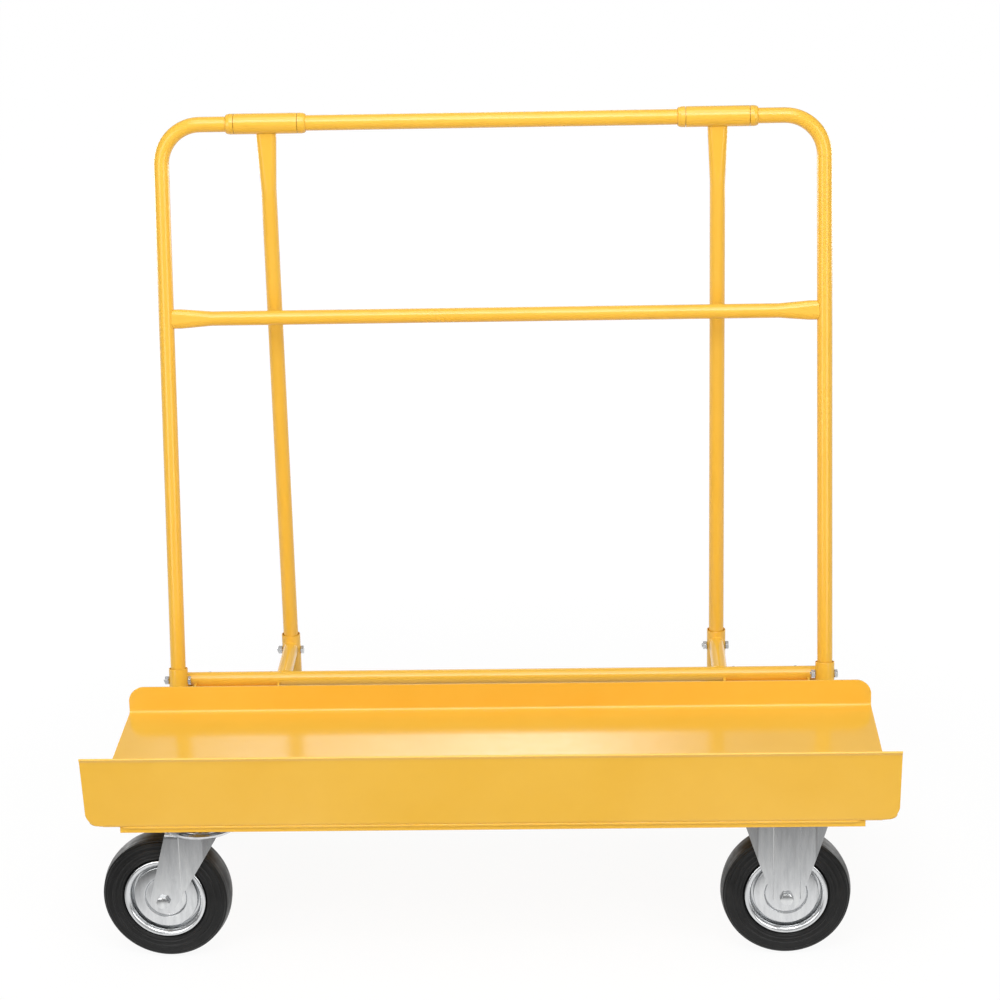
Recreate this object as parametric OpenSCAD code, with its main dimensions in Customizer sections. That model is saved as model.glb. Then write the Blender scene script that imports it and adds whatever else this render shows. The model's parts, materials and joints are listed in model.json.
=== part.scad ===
// Drywall cart: a folded tray on a welded base with four casters, and a leaning tube frame held up by two
// rear props. Millimetres, +Z up, +X to the right and +Y to the rear. The origin is on the floor, at the
// middle of the cart's length and depth.

/* [Tray] */
// Length of the tray across the cart
tray_l = 1220; // [1190:10:1500]
// Depth of the deck from its front fold to its rear fold
deck_d = 450; // [380:5:600]
// Thickness of the tray's sheet
sheet_t = 3; // [2:0.5:4]
// Height of the front lip along its slope
lip_h = 129; // [80:1:180]
// Lean of the front lip away from the deck, in degrees
lip_lean = 11; // [0:1:20]
// Width of the turned-out hem on the lip's top edge
hem_w = 7; // [4:0.5:12]
// Further lean of the hem, in degrees
hem_lean = 24; // [0:1:40]
// Height of the rear flange above the deck
flange_h = 44; // [30:1:80]
// Radius of the tray's rounded corners
corner_r = 25; // [12:1:40]
// Inside radius of the tray's folds
bend_r = 5; // [3:0.5:8]

/* [Base] */
// Height of the channels between the caster plates and the deck
channel_h = 15; // [15:0.5:30]
// Wall of the channels
channel_t = 4; // [3:0.5:4]
// Length of the front channel
front_channel_l = 1120; // [1060:5:1180]
// Width of the front channel
front_channel_w = 20; // [16:1:26]
// Height of the front channel
front_channel_h = 9; // [8:0.5:14]
// Distance from the front fold to the front channel
front_channel_back = 5; // [3:0.5:10]
// Width of a caster channel
caster_channel_w = 145; // [142:0.5:146]
// Distance from the rear fold to the axis of the rear rail
rail_back = 142; // [120:1:180]
// Outside diameter of the rail and of the outriggers
rail_d = 25.4; // [22:0.2:27]
// Wall of the rail and of the outriggers
rail_wall = 2; // [1.5:0.1:3]

/* [Sockets] */
// Outside diameter of the sockets
socket_d = 32; // [31:0.5:36]
// Radial clearance of the legs and props in their sockets
socket_fit = 0.4; // [0.3:0.05:0.6]
// Length of a front socket
front_socket_l = 75; // [68:1:80]
// Height of the front sockets' tops above the rail's axis
front_socket_rise = 30; // [28:1:40]
// Length of a rear socket
rear_socket_l = 85; // [70:1:88]
// Height of the rear sockets' tops above the rail's axis
rear_socket_rise = 23; // [18:1:40]
// Length of tube inside a socket
tube_in = 60; // [45:1:64]
// Depth of the front socket bolts below the sockets' tops
front_bolt_drop = 21; // [14:1:24]
// Depth of the rear socket bolts below the sockets' tops
rear_bolt_drop = 30; // [20:1:40]

/* [Upright frame] */
// Outside diameter of the frame's tube and of the props
tube_d = 25.4; // [24:0.2:26]
// Wall of the frame's tube and of the props
tube_wall = 2; // [1.5:0.1:3]
// Spacing of the two legs, axis to axis
leg_spacing = 1088; // [1060:2:1110]
// Height of the top bar's axis above the floor
frame_top = 1176; // [950:2:1500]
// Lean of the frame to the rear, in degrees
frame_lean = 10; // [6:0.5:12]
// Radius of the frame's corner bends, on the tube's axis
frame_bend_r = 65; // [50:1:75]
// Distance from the top bar down to the middle bar, along the legs
mid_drop = 319; // [200:1:400]
// Diameter of the middle bar
mid_d = 24; // [22:0.2:26]
// Height of the flattened ends of the middle bar
mid_end_h = 32; // [28:0.5:36]
// Thickness of the flattened ends of the middle bar
mid_end_t = 17; // [15:0.5:19]
// Length of the flattening at each end of the middle bar
mid_end_l = 52; // [40:1:70]

/* [Props] */
// Spacing of the two props, axis to axis
prop_spacing = 740; // [735:1:741]
// Lean of the props to the front, in degrees
prop_lean = 1; // [0.5:0.25:3]
// Width of a prop's flared top
prop_top_w = 33; // [29:0.5:38]
// Thickness of a prop's flared top
prop_top_t = 15; // [13:0.5:18]
// Length of the flare at a prop's top
prop_top_l = 95; // [70:1:120]
// Outside diameter of the prop sleeves and stop collars
sleeve_d = 34; // [32:0.5:38]
// Radial clearance of the sleeves on the top bar
sleeve_fit = 0.4; // [0.3:0.05:0.6]
// Length of a prop sleeve
sleeve_l = 104; // [80:1:120]
// Length of a stop collar
collar_l = 13; // [10:0.5:18]
// Gap between a sleeve and its collars
collar_gap = 0.8; // [0.5:0.1:2]

/* [Fasteners] */
// Diameter of the socket bolts
socket_bolt_d = 8; // [7:0.5:9]
// Width across flats of the socket bolts' heads and nuts
socket_hex = 13; // [12:0.5:15]
// Height of the socket bolts' heads
socket_head_h = 5.5; // [4:0.5:7]
// Height of the socket nuts
socket_nut_h = 7; // [5:0.5:9]
// Diameter of the caster bolts
caster_bolt_d = 8; // [7:0.5:8.5]
// Width across flats of the caster bolts' heads and nuts
caster_hex = 13; // [12:0.5:14]
// Height of the caster bolts' heads
caster_head_h = 5.5; // [4:0.5:6]
// Height of the caster nuts
caster_nut_h = 6.5; // [5:0.5:6.5]
// Diameter of the caster washers
washer_d = 17; // [15:0.5:18]
// Thickness of the caster washers
washer_t = 1.6; // [1:0.1:1.8]
// Length of bolt showing past a nut
bolt_end = 2; // [1:0.1:2.2]
// Radial clearance of the bolts in their holes
bolt_fit = 0.5; // [0.3:0.05:0.6]

/* [Casters] */
// Height of a caster from the floor to the top of its plate
caster_h = 234; // [232:0.5:240]
// Distance of the casters' centres from the middle of the cart
caster_x = 447; // [444:1:450]
// Length of a caster plate
plate_l = 140; // [136:1:142]
// Depth of a caster plate
plate_w = 110; // [104:1:112]
// Thickness of a caster plate
plate_t = 4; // [3.5:0.5:4.5]
// Radius of a caster plate's corners
plate_r = 8; // [5:0.5:10]
// Spacing of the caster bolts along the plate
bolt_pitch_l = 105; // [102:0.5:106]
// Spacing of the caster bolts across the plate
bolt_pitch_w = 80; // [78:0.5:84]
// Distance from a swivel caster's axis back to its axle
trail = 60; // [54:0.5:61]
// Turn of the front swivel caster at rest, in degrees
front_turn = -5; // [-90:1:0]
// Turn of the rear swivel caster at rest, in degrees
rear_turn = 0; // [-90:1:0]
// Thickness of the forks' pressed sheet
fork_t = 3; // [2.5:0.25:3.5]
// Rise of the pressed panels on the forks' legs
panel_t = 2; // [1:0.25:2.5]
// Clear width between a fork's legs
fork_gap = 58; // [56:0.5:60]
// Half width of a rigid fork at its top
rigid_half = 68; // [62:0.5:69]
// Reach of a swivel fork ahead of its axis at its top
fork_front = 33; // [30:0.5:38]
// Reach of a swivel fork behind its axis at its top
fork_back = 51; // [46:0.5:53]
// Radius of the forks' round ends
fork_end_r = 20.5; // [18:0.5:22]
// Turn of the forks' wings towards the wheel, in degrees
wing_turn = 20; // [10:1:22]
// Radius of the dished crown on a swivel fork
crown_r = 60; // [56:0.5:61]
// Diameter of the race balls
ball_d = 6.4; // [6:0.1:6.6]
// Radius of the ball race
race_r = 38; // [37:0.25:38.5]
// Diameter of a kingpin
kingpin_d = 12; // [10:0.5:13]
// Width across flats of a kingpin's nut
king_hex = 19; // [17:0.5:20]

/* [Wheels] */
// Diameter of a wheel
wheel_d = 200; // [196:1:203]
// Width of a tyre
tyre_w = 50; // [46:0.5:52]
// Radius of a tyre's shoulders
shoulder_r = 13; // [9:0.5:16]
// Radius of a tyre's tread across its width
tread_r = 48; // [40:1:80]
// Radius of the seat of a tyre on its rim
seat_r = 60; // [57:0.5:62]
// Thickness of the rims' pressed sheet
rim_t = 2.5; // [2:0.25:3]
// Diameter of an axle bolt
axle_d = 12; // [10:0.5:12.5]
// Outside diameter of an axle sleeve
axle_sleeve_d = 15.4; // [15:0.1:16]
// Diameter of a bearing roller
roller_d = 5; // [4:0.25:5.5]
// Width across flats of an axle bolt's head and nut
axle_hex = 18; // [16:0.5:19]
// Height of an axle bolt's head
axle_head_h = 7.5; // [6:0.5:9]
// Height of an axle nut
axle_nut_h = 10; // [8:0.5:12]

/* [Hidden] */
// Facets of every round face
$fn = 72;
// Length by which a cut runs past the faces that it opens
over = 1;
// Gap left between round faces that meet
weld_gap = 0.1;
// Change to an arc's radius that makes it cross the flats that it meets
ease = 0.1;
// Radial clearance of the rollers
run_gap = 0.05;
// Radial clearance of a nut on its bolt
thread_gap = 0.1;
// Clearance round the race balls
ball_gap = 0.3;
// Radial clearance of an axle bolt in its sleeve and fork
axle_fit = 0.2;
// Radial clearance of a kingpin in its fork
king_fit = 0.3;
// Gap between the dished crown and the caster bolts' heads
dish_gap = 2;

// Share of the tray's corner radius for the corners of the deck beside the front fold
deck_corner_share = 0.8;
// Share of the rail's wall by which a weld joins a socket to it
weld_in_share = 0.75;
// Shares of a race ball's diameter: its race's edge above or below its middle, and the crown's height
race_share = 0.32;
crown_share = 0.9;
// Share of a caster plate's thickness for the kingpin's head
king_head_share = 0.75;
// Shares of a fork's end radius from its axle to the edge of its pressed panel, on rigid and on swivel forks
rigid_panel_share = 0.95;
swivel_panel_share = 1.38;
// Shares of a rigid fork's half width, and of a swivel fork's width, at which a wing turns in
rigid_wing_share = 0.65;
swivel_wing_share = 0.65;
// Shares of the dished crown's radius and height along its curve
dish_shares = [[0.8, 0], [0.93, 0.15], [0.985, 0.5], [1, 1]];
// Share of the fork's sheet by which the dish sits below the fork's bridge
dish_drop_share = 0.8;
// Shares of a race ball's diameter from the race's circle to the crown's boss and to the plate's ring
boss_share = 1.25;
ring_share = 0.75;
// Shares of a stop collar's wall and length along its rounded end
collar_shares = [[0, 0], [1, 0], [1, 0.5], [0.75, 0.85], [0.4, 1], [0, 1]];
// Shares of the seat radius: rolled edge, cone, slot, disc, inner step's outer and inner edge
rim_radius_shares = [1.03, 0.97, 0.885, 0.83, 0.56, 0.53];
// Shares of the tyre's half width: rolled edge, cone, disc, hub disc, hub and slot's floor
rim_depth_shares = [0.86, 0.64, 0.7, 0.62, 1.08, 0.2];
// Share of the seat radius for the rolled edge's own radius
roll_share = 0.05;
// Shares of the wheel's radius for the sidewall ridges, and for a ridge's own radius
ridge_shares = [0.72, 0.81];
ridge_size_share = 0.014;

// Heights of the base
web_top = caster_h + channel_t;
deck_under = caster_h + channel_h;
deck_z = deck_under + sheet_t;
rail_r = rail_d / 2;
rail_z = web_top + rail_r + weld_gap;

// The front lip, from its bend to its hem
bend_c = bend_r + sheet_t;
lip_run = lip_h - bend_c - hem_w;
deck_corner_r = corner_r * deck_corner_share;
hem_x = -bend_r - sheet_t * cos(hem_lean) - hem_w * sin(hem_lean);
hem_y = lip_run - sheet_t * sin(hem_lean) + hem_w * cos(hem_lean);
lip_reach = hem_y * sin(lip_lean) - hem_x * cos(lip_lean) - bend_c;

// Distances behind the front fold
socket_r = socket_d / 2;
tube_r = tube_d / 2;
weld_in = rail_wall * weld_in_share;
rail_dist = deck_d + rail_back;
front_socket_z = rail_z + front_socket_rise;
rear_socket_z = rail_z + rear_socket_rise;
leg_dist = rail_dist - (socket_r + rail_r - weld_in) / cos(frame_lean) + front_socket_rise * tan(frame_lean);
leg_h = (frame_top - front_socket_z) / cos(frame_lean);
top_dist = leg_dist + leg_h * sin(frame_lean);
prop_h = (frame_top - rear_socket_z) / cos(prop_lean);
prop_dist = top_dist + prop_h * sin(prop_lean);
rear_reach = prop_dist + rear_socket_l * sin(prop_lean) + socket_r * cos(prop_lean);

// Places along Y, with the middle of the cart's depth at 0
fold_y = (lip_reach - rear_reach) / 2;
rail_y = fold_y + rail_dist;
leg_y = fold_y + leg_dist;
top_y = fold_y + top_dist;
prop_y = fold_y + prop_dist;
notch_y = fold_y + bend_c * (1 + sin(lip_lean));
channel_y = fold_y + front_channel_back + front_channel_w;
front_caster_y = channel_y + plate_w / 2 + channel_t;
rear_caster_y = rail_y;
channel_end = rear_caster_y + plate_w / 2 + channel_t;

// Tubes and sockets
tube_bore = tube_d - 2 * tube_wall;
rail_bore = rail_d - 2 * rail_wall;
socket_bore = tube_d + 2 * socket_fit;
sleeve_bore = tube_d + 2 * sleeve_fit;
mid_bore = mid_d - 2 * tube_wall;
socket_hole = socket_bolt_d + 2 * bolt_fit;
caster_hole = caster_bolt_d + 2 * bolt_fit;

// Casters
wheel_r = wheel_d / 2;
plate_under = caster_h - plate_t;
leg_out = fork_gap / 2 + fork_t;
panel_out = leg_out + panel_t;
ball_z = plate_under - plate_t / 2 - ball_d / 2;
race_top = ball_z + ball_d * race_share;
crown_z = ball_z - ball_d * race_share;
bridge_z = crown_z - ball_d * crown_share;
rigid_z = plate_under;
axle_hole = axle_d + 2 * axle_fit;
hub_bore_r = axle_sleeve_d / 2 + roller_d + 2 * run_gap;
hub_r = hub_bore_r + rim_t;
roller_ring_r = axle_sleeve_d / 2 + run_gap + roller_d / 2;
king_head_h = plate_t * king_head_share;
king_nut_h = king_hex / 2;

// Paints and metals
yellow = [0.93, 0.62, 0.10];
zinc = [0.74, 0.75, 0.76];
steel = [0.55, 0.56, 0.58];
rubber = [0.09, 0.09, 0.10];

// Shared shapes

module x_rod(d, l) {
  rotate([0, 90, 0])
    cylinder(d = d, h = l, center = true);
}

module y_rod(d, l) {
  rotate([90, 0, 0])
    cylinder(d = d, h = l, center = true);
}

module pipe(d, bore, l) {
  difference() {
    cylinder(d = d, h = l);
    translate([0, 0, -over])
      cylinder(d = bore, h = l + 2 * over);
  }
}

module hex(flats, h) {
  cylinder(d = flats / cos(30), h = h, $fn = 6);
}

module nut(flats, bore, h) {
  difference() {
    hex(flats, h);
    translate([0, 0, -over])
      cylinder(d = bore, h = h + 2 * over);
  }
}

module bolt(flats, head_h, d, l) {
  translate([0, 0, -head_h])
    hex(flats, head_h);
  translate([0, 0, -head_h / 2])
    cylinder(d = d, h = l + head_h / 2);
}

module corner_cut(r, depth, past) {
  linear_extrude(depth, center = true)
    difference() {
      square([r + over, r + past]);
      circle(r + ease);
    }
}

module both_ends() {
  children();
  mirror([1, 0, 0])
    children();
}

// Frames of reference: the leaning frame at its socket tops, a prop at its socket top, and a caster

module in_frame() {
  translate([0, leg_y, front_socket_z])
    rotate([-frame_lean, 0, 0])
      children();
}

module in_prop(side) {
  translate([side * prop_spacing / 2, prop_y, rear_socket_z])
    rotate([prop_lean, 0, 0])
      children();
}

module at_caster(side, y, turn) {
  translate([side * caster_x, y, 0])
    rotate([0, 0, turn])
      children();
}

module at_plate_bolts() {
  for (sx = [-1, 1], sy = [-1, 1])
    translate([sx * bolt_pitch_l / 2, sy * bolt_pitch_w / 2, 0])
      children();
}

module at_every_plate() {
  for (side = [-1, 1], y = [front_caster_y, rear_caster_y])
    at_caster(side, y, 0)
      at_plate_bolts()
        children();
}

// Tray

module along_x() {
  rotate([90, 0, 90])
    children();
}

module at_lip() {
  along_x()
    translate([fold_y + bend_c, deck_z + bend_r, 0])
      rotate([0, 0, lip_lean])
        children();
}

// One face of the folded sheet with everything above it: r is the radius of its folds
module sheet_face(r, past) {
  out = [-cos(lip_lean), -sin(lip_lean)];
  up = [-sin(lip_lean), cos(lip_lean)];
  down = [0, -1];
  back = [1, 0];
  front_c = [fold_y + bend_c, deck_z + bend_r];
  rear_c = [fold_y + deck_d - bend_c, deck_z + bend_r];
  polygon([front_c + r * out + (lip_run + past) * up, front_c + r * out, front_c + r * down,
    rear_c + r * down, rear_c + r * back, rear_c + r * back - (flange_h - bend_r + past) * down]);
  translate(front_c)
    circle(r - ease);
  translate(rear_c)
    circle(r - ease);
}

module tray_section() {
  difference() {
    sheet_face(bend_c, 0);
    sheet_face(bend_r, over);
  }
  translate([fold_y + bend_c, deck_z + bend_r])
    rotate(lip_lean)
      translate([-bend_r, lip_run])
        rotate(hem_lean)
          translate([-sheet_t, 0])
            square([sheet_t, hem_w]);
}

module deck_tray() {
  color(yellow)
    difference() {
      along_x()
        linear_extrude(tray_l, center = true)
          tray_section();
      both_ends()
        translate([tray_l / 2 - corner_r, fold_y + deck_d, deck_z + flange_h - corner_r])
          rotate([90, 0, 0])
            corner_cut(corner_r, 2 * bend_c, over);
      both_ends()
        translate([tray_l / 2 - deck_corner_r, notch_y + deck_corner_r - over, deck_under])
          mirror([0, 1, 0])
            corner_cut(deck_corner_r, 2 * sheet_t + 2 * over, over);
      for (side = [0, 1])
        at_lip()
          mirror([0, 0, side])
            translate([-(bend_c + over) / 2, corner_r - bend_c / 2, tray_l / 2 - corner_r])
              rotate([0, -90, 0])
                mirror([0, 1, 0])
                  corner_cut(corner_r, bend_c + over, bend_c);
    }
}

// Base

module front_channel() {
  color(yellow)
    translate([-front_channel_l / 2, fold_y + front_channel_back, deck_under - front_channel_h])
      difference() {
        cube([front_channel_l, front_channel_w, front_channel_h]);
        translate([-over, channel_t, channel_t])
          cube([front_channel_l + 2 * over, front_channel_w - 2 * channel_t, front_channel_h]);
      }
}

module caster_channel(side) {
  color(yellow)
    difference() {
      translate([side * caster_x - caster_channel_w / 2, channel_y, caster_h]) {
        cube([caster_channel_w, channel_end - channel_y, channel_t]);
        for (x = [0, caster_channel_w - channel_t])
          translate([x, 0, 0])
            cube([channel_t, rail_y - channel_y, channel_h]);
      }
      translate([side * caster_x, rail_y, rail_z])
        x_rod(rail_d + 2 * weld_gap, caster_channel_w + 2 * over);
      for (y = [front_caster_y, rear_caster_y])
        at_caster(side, y, 0)
          at_plate_bolts()
            translate([0, 0, caster_h - over])
              cylinder(d = caster_hole, h = channel_t + 2 * over);
    }
}

module caster_channel_left() {
  caster_channel(-1);
}

module caster_channel_right() {
  caster_channel(1);
}

module front_socket_rods(d, l) {
  in_frame()
    for (side = [-1, 1])
      translate([side * leg_spacing / 2, 0, -l])
        cylinder(d = d, h = l);
}

module rear_rail() {
  color(yellow)
    difference() {
      translate([0, rail_y, rail_z])
        x_rod(rail_d, leg_spacing + socket_d);
      translate([0, rail_y, rail_z])
        x_rod(rail_bore, leg_spacing + socket_d + 2 * over);
      front_socket_rods(socket_d + 2 * weld_gap, front_socket_l);
    }
}

module front_socket(side) {
  color(yellow)
    in_frame()
      translate([side * leg_spacing / 2, 0, 0])
        difference() {
          translate([0, 0, -front_socket_l])
            pipe(socket_d, socket_bore, front_socket_l);
          translate([0, 0, -front_bolt_drop])
            x_rod(socket_hole, socket_d + 2 * over);
        }
}

module front_socket_left() {
  front_socket(-1);
}

module front_socket_right() {
  front_socket(1);
}

module outrigger(side) {
  reach = prop_y - rail_y;
  color(yellow)
    difference() {
      translate([side * prop_spacing / 2, rail_y + reach, rail_z])
        rotate([90, 0, 0])
          pipe(rail_d, rail_bore, reach);
      translate([side * prop_spacing / 2, rail_y, rail_z])
        x_rod(rail_d + 2 * weld_gap, rail_d + 2 * over);
      in_prop(side)
        translate([0, 0, -rear_socket_l])
          cylinder(d = socket_d + 2 * weld_gap, h = 2 * rear_socket_l);
    }
}

module outrigger_left() {
  outrigger(-1);
}

module outrigger_right() {
  outrigger(1);
}

module rear_socket(side) {
  color(yellow)
    in_prop(side)
      difference() {
        translate([0, 0, -rear_socket_l])
          pipe(socket_d, socket_bore, rear_socket_l);
        translate([0, 0, -rear_bolt_drop])
          x_rod(socket_hole, socket_d + 2 * over);
      }
}

module rear_socket_left() {
  rear_socket(-1);
}

module rear_socket_right() {
  rear_socket(1);
}

// Upright frame and props

module frame_path(d, past) {
  straight = leg_h - frame_bend_r;
  both_ends() {
    translate([leg_spacing / 2, 0, -tube_in - past])
      cylinder(d = d, h = straight + tube_in + past);
    translate([leg_spacing / 2 - frame_bend_r, 0, straight])
      rotate([90, 0, 0])
        rotate_extrude(angle = 90)
          translate([frame_bend_r, 0])
            circle(d = d);
  }
  translate([0, 0, leg_h])
    x_rod(d, leg_spacing - 2 * frame_bend_r);
}

module upright_frame() {
  color(yellow)
    in_frame()
      difference() {
        frame_path(tube_d, 0);
        frame_path(tube_bore, over);
        translate([0, 0, -front_bolt_drop])
          x_rod(socket_hole, leg_spacing + 2 * tube_d);
      }
}

module mid_bar() {
  clear = leg_spacing / 2 - tube_d;
  color(yellow)
    in_frame()
      translate([0, 0, leg_h - mid_drop])
        difference() {
          union() {
            x_rod(mid_d, 2 * (clear - mid_end_l));
            both_ends()
              hull() {
                translate([clear - mid_end_l, 0, 0])
                  x_rod(mid_d - 4 * weld_gap, 2 * over);
                for (side = [-1, 1])
                  translate([(clear + leg_spacing / 2) / 2, 0, side * (mid_end_h - mid_end_t) / 2])
                    x_rod(mid_end_t, tube_d);
              }
          }
          x_rod(mid_bore, 2 * (clear - mid_end_l));
          x_rod(mid_end_t / 2, leg_spacing);
          both_ends()
            translate([leg_spacing / 2, 0, -mid_end_h])
              cylinder(d = tube_d + 2 * weld_gap, h = 2 * mid_end_h);
        }
}

module rear_prop(side) {
  flare = prop_h - sleeve_d / 2 - prop_top_l;
  color(yellow)
    difference() {
      in_prop(side)
        difference() {
          union() {
            translate([0, 0, -tube_in])
              cylinder(d = tube_d, h = tube_in + flare);
            hull() {
              translate([0, 0, flare - over])
                cylinder(d = tube_d - 4 * weld_gap, h = over);
              for (end = [-1, 1])
                translate([end * (prop_top_w - prop_top_t) / 2, 0, prop_h - sleeve_d / 2 - tube_r / 2])
                  cylinder(d = prop_top_t, h = tube_r);
            }
          }
          translate([0, 0, -tube_in - over])
            cylinder(d = tube_bore, h = tube_in + flare + over);
          translate([0, 0, -rear_bolt_drop])
            x_rod(socket_hole, tube_d + 2 * over);
        }
      translate([side * prop_spacing / 2, top_y, frame_top])
        x_rod(sleeve_d + 2 * weld_gap, sleeve_l);
    }
}

module rear_prop_left() {
  rear_prop(-1);
}

module rear_prop_right() {
  rear_prop(1);
}

module prop_sleeve(side) {
  color(yellow)
    translate([side * prop_spacing / 2 - sleeve_l / 2, top_y, frame_top])
      rotate([0, 90, 0])
        pipe(sleeve_d, sleeve_bore, sleeve_l);
}

module prop_sleeve_left() {
  prop_sleeve(-1);
}

module prop_sleeve_right() {
  prop_sleeve(1);
}

module stop_collars() {
  bore_r = tube_r + weld_gap;
  wall = sleeve_d / 2 - bore_r;
  color(yellow)
    for (side = [-1, 1], end = [-1, 1])
      translate([side * prop_spacing / 2 + end * (sleeve_l / 2 + collar_gap), top_y, frame_top])
        rotate([0, end * 90, 0])
          rotate_extrude()
            polygon([for (share = collar_shares) [bore_r + share[0] * wall, share[1] * collar_l]]);
}

// Fasteners

module at_socket_bolts() {
  for (side = [-1, 1]) {
    in_frame()
      translate([side * leg_spacing / 2, 0, -front_bolt_drop])
        children();
    in_prop(side)
      translate([0, 0, -rear_bolt_drop])
        children();
  }
}

module socket_bolts() {
  color(zinc)
    at_socket_bolts()
      translate([socket_r, 0, 0])
        rotate([0, -90, 0])
          bolt(socket_hex, socket_head_h, socket_bolt_d, socket_d + socket_nut_h + bolt_end);
}

module socket_nuts() {
  color(zinc)
    at_socket_bolts()
      translate([-socket_r, 0, 0])
        rotate([0, -90, 0])
          nut(socket_hex, socket_bolt_d + 2 * thread_gap, socket_nut_h);
}

module caster_bolts() {
  color(zinc)
    at_every_plate()
      translate([0, 0, plate_under])
        bolt(caster_hex, caster_head_h, caster_bolt_d,
          plate_t + channel_t + washer_t + caster_nut_h + bolt_end);
}

module caster_washers() {
  color(zinc)
    at_every_plate()
      translate([0, 0, web_top])
        pipe(washer_d, caster_hole, washer_t);
}

module caster_nuts() {
  color(zinc)
    at_every_plate()
      translate([0, 0, web_top + washer_t])
        nut(caster_hex, caster_bolt_d + 2 * thread_gap, caster_nut_h);
}

// Forks

function tangent_at(c, r, p, side) =
  let (a = atan2(p[1] - c[1], p[0] - c[0]) + side * acos(r / norm(p - c)))
  c + r * [cos(a), sin(a)];

// Points along the outer face of a fork's front leg, seen from above, from its back to its front
function rigid_face(half) =
  let (panel = fork_end_r * rigid_panel_share, wing = rigid_half * rigid_wing_share,
    turned = (half - wing) * tan(wing_turn))
  [[-half, turned - leg_out], [-wing, -leg_out], [-panel - panel_t, -leg_out], [-panel, -panel_out],
    [panel, -panel_out], [panel + panel_t, -leg_out], [wing, -leg_out], [half, turned - leg_out]];

function swivel_face(back, front) =
  let (panel = fork_end_r * swivel_panel_share - trail,
    wing = (fork_front + fork_back) * swivel_wing_share - fork_back)
  [[-back, -panel_out], [panel, -panel_out], [panel + panel_t, -leg_out], [wing, -leg_out],
    [front, (front - wing) * tan(wing_turn) - leg_out]];

function turned_round(points) = [for (i = [len(points) - 1 : -1 : 0]) points[i]];

module leg_outline(back, front, top, axle) {
  left = [back, top];
  right = [front, top];
  rotate([90, 0, 0]) {
    linear_extrude(panel_out + over)
      polygon([left, tangent_at(axle, fork_end_r, left, 1), tangent_at(axle, fork_end_r, right, -1), right]);
    translate([axle[0], axle[1], 0])
      cylinder(r = fork_end_r + ease, h = panel_out + over);
  }
}

module pressed_leg(face, back, front, top, axle) {
  low = axle[1] - fork_end_r - over;
  inner = [for (point = turned_round(face)) point + [0, fork_t]];
  intersection() {
    translate([0, 0, low])
      linear_extrude(top + over - low)
        polygon(concat(face, inner));
    leg_outline(back, front, top, axle);
  }
}

module bridge(face, top) {
  rear = [for (point = turned_round(face)) [point[0], -point[1]]];
  translate([0, 0, top - fork_t])
    linear_extrude(fork_t)
      polygon(concat(face, rear));
}

module both_sides() {
  children();
  mirror([0, 1, 0])
    children();
}

module axle_cut(x) {
  translate([x, 0, wheel_r])
    y_rod(axle_hole, 2 * (panel_out + over));
}

module rigid_plate(y) {
  color(zinc)
    at_caster(1, y, 0)
      difference() {
        mount_plate();
        at_plate_bolts()
          translate([0, 0, plate_under - over])
            cylinder(d = caster_hole, h = plate_t + 2 * over);
      }
}

module mount_plate() {
  translate([0, 0, plate_under])
    difference() {
      translate([-plate_l / 2, -plate_w / 2, 0])
        cube([plate_l, plate_w, plate_t]);
      for (turn = [0, 180])
        rotate([0, 0, turn]) {
          translate([plate_l / 2 - plate_r, plate_w / 2 - plate_r, plate_t / 2])
            corner_cut(plate_r, plate_t + 2 * over, over);
          translate([plate_r - plate_l / 2, plate_w / 2 - plate_r, plate_t / 2])
            mirror([1, 0, 0])
              corner_cut(plate_r, plate_t + 2 * over, over);
        }
    }
}

module rigid_plate_front() {
  rigid_plate(front_caster_y);
}

module rigid_plate_rear() {
  rigid_plate(rear_caster_y);
}

module rigid_fork(y) {
  color(zinc)
    at_caster(1, y, 0)
      difference() {
        union() {
          bridge(rigid_face(rigid_half), rigid_z);
          both_sides()
            pressed_leg(rigid_face(rigid_half + over), -rigid_half, rigid_half, rigid_z, [0, wheel_r]);
        }
        axle_cut(0);
      }
}

module rigid_fork_front() {
  rigid_fork(front_caster_y);
}

module rigid_fork_rear() {
  rigid_fork(rear_caster_y);
}

module swivel_plate(y) {
  color(zinc)
    at_caster(-1, y, 0)
      difference() {
        union() {
          mount_plate();
          translate([0, 0, race_top])
            pipe(2 * (race_r + ball_d * ring_share), 2 * (race_r - ball_d * ring_share),
              plate_under - race_top + over);
        }
        translate([0, 0, plate_under - over])
          cylinder(d = kingpin_d + 2 * king_fit, h = plate_t + 2 * over);
        translate([0, 0, caster_h - king_head_h])
          cylinder(d = 2 * kingpin_d + 2 * king_fit, h = king_head_h + over);
        ball_groove();
        at_plate_bolts()
          translate([0, 0, plate_under - over])
            cylinder(d = caster_hole, h = plate_t + 2 * over);
      }
}

module ball_groove() {
  translate([0, 0, ball_z])
    rotate_extrude()
      translate([race_r, 0])
        circle(d = ball_d + 2 * ball_gap);
}

module swivel_plate_front() {
  swivel_plate(front_caster_y);
}

module swivel_plate_rear() {
  swivel_plate(rear_caster_y);
}

module kingpin(y) {
  color(steel)
    at_caster(-1, y, 0) {
      translate([0, 0, bridge_z - king_nut_h - fork_t - bolt_end])
        cylinder(d = kingpin_d, h = caster_h - bridge_z + king_nut_h + fork_t + bolt_end);
      translate([0, 0, caster_h - king_head_h])
        cylinder(d = 2 * kingpin_d, h = king_head_h);
    }
}

module kingpin_front() {
  kingpin(front_caster_y);
}

module kingpin_rear() {
  kingpin(rear_caster_y);
}

module king_nut(y) {
  color(zinc)
    at_caster(-1, y, 0)
      translate([0, 0, bridge_z - fork_t - king_nut_h - ball_gap])
        nut(king_hex, kingpin_d + 2 * thread_gap, king_nut_h);
}

module king_nut_front() {
  king_nut(front_caster_y);
}

module king_nut_rear() {
  king_nut(rear_caster_y);
}

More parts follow.
